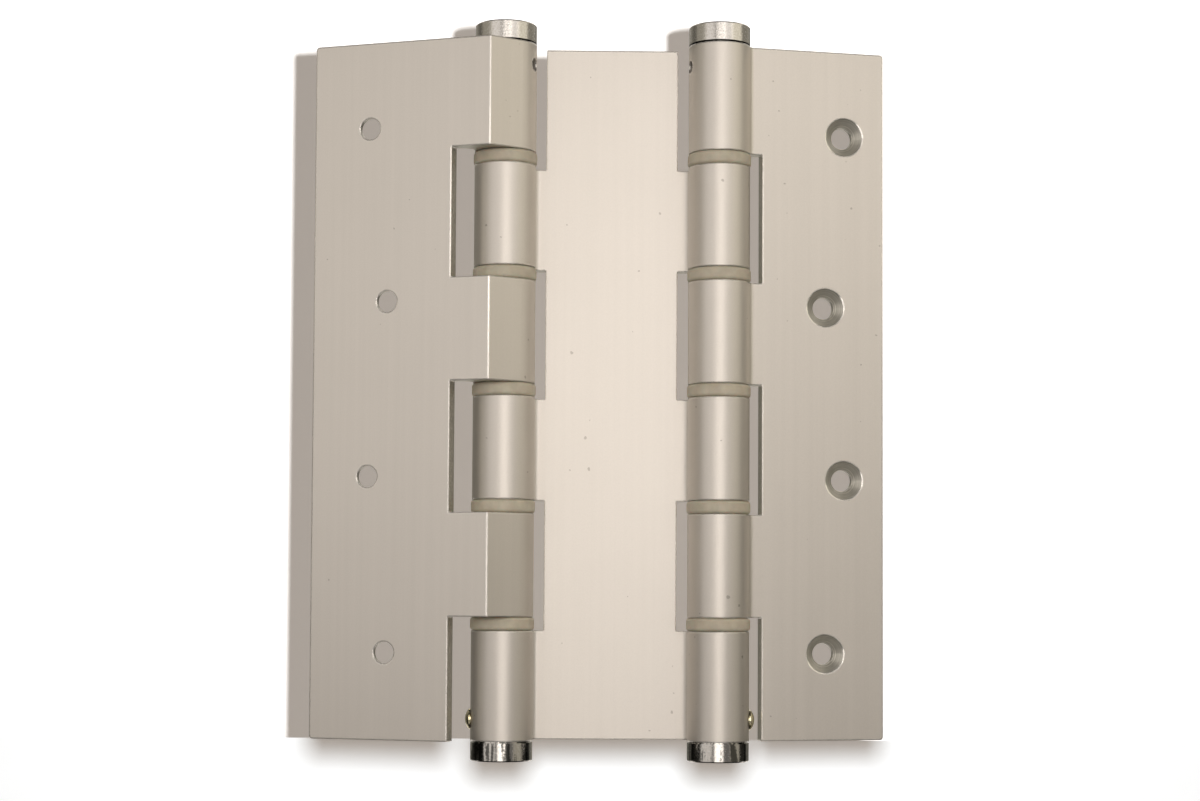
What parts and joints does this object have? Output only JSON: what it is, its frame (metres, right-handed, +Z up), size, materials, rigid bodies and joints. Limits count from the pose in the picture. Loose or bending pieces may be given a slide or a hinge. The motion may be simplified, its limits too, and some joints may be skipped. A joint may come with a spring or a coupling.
{
  "type": "double action spring hinge",
  "caption": "Swing-door hinge with three flat leaves joined by interleaved spring barrels, each with bushes, a pinned end plug and a tension adjuster.",
  "frame": {"origin": "middle of the jamb leaf's screw field, on the plain face that lies on the jamb", "axes": "+Z up along the barrels; +X from the jamb leaf's outer edge towards its barrel; +Y from the jamb's face into the leaf"},
  "size_m": [0.1395, 0.055, 0.1904],
  "materials": {
    "leaf": "satin anodised",
    "plated": "bright plated steel",
    "nylon": "translucent natural nylon",
    "pin": "yellow passivated",
    "spring": "oiled spring steel"
  },
  "bodies": {
    "jamb": {"jamb_leaf": "leaf"},
    "centre": {"centre_leaf": "leaf", "jamb_end_plug": "plated", "door_end_plug": "plated", "jamb_lock_pin": "pin", "door_lock_pin": "pin", "jamb_spring": "spring", "door_spring": "spring", "jamb_bush_1": "nylon", "jamb_bush_2": "nylon", "jamb_bush_3": "nylon", "jamb_bush_4": "nylon", "jamb_bush_5": "nylon", "door_bush_1": "nylon", "door_bush_2": "nylon", "door_bush_3": "nylon", "door_bush_4": "nylon", "door_bush_5": "nylon"},
    "door": {"door_leaf": "leaf"},
    "jamb_adjuster": {"jamb_adjuster": "plated"},
    "door_adjuster": {"door_adjuster": "plated"}
  },
  "joints": [
    {"name": "jamb_hinge", "type": "hinge", "parent": "jamb", "child": "centre", "pos_m": [0.03015, 0.0126, 0], "axis": [0, 0, 1], "range_deg": [-19.3, 160.7], "deforming": ["jamb_spring"]},
    {"name": "door_hinge", "type": "hinge", "parent": "centre", "child": "door", "pos_m": [0.08263, 0.03098, 0], "axis": [0, 0, -1], "range_deg": [0, 192.3], "deforming": ["door_spring"]},
    {"name": "jamb_adjuster_turn", "type": "hinge", "parent": "jamb", "child": "jamb_adjuster", "pos_m": [0.03015, 0.0126, 0], "axis": [0, 0, 1], "range_deg": [0, 270], "deforming": ["jamb_spring"]},
    {"name": "door_adjuster_turn", "type": "hinge", "parent": "door", "child": "door_adjuster", "pos_m": [0.08263, 0.03098, 0], "axis": [0, 0, 1], "range_deg": [0, 270], "deforming": ["door_spring"]}
  ]
}
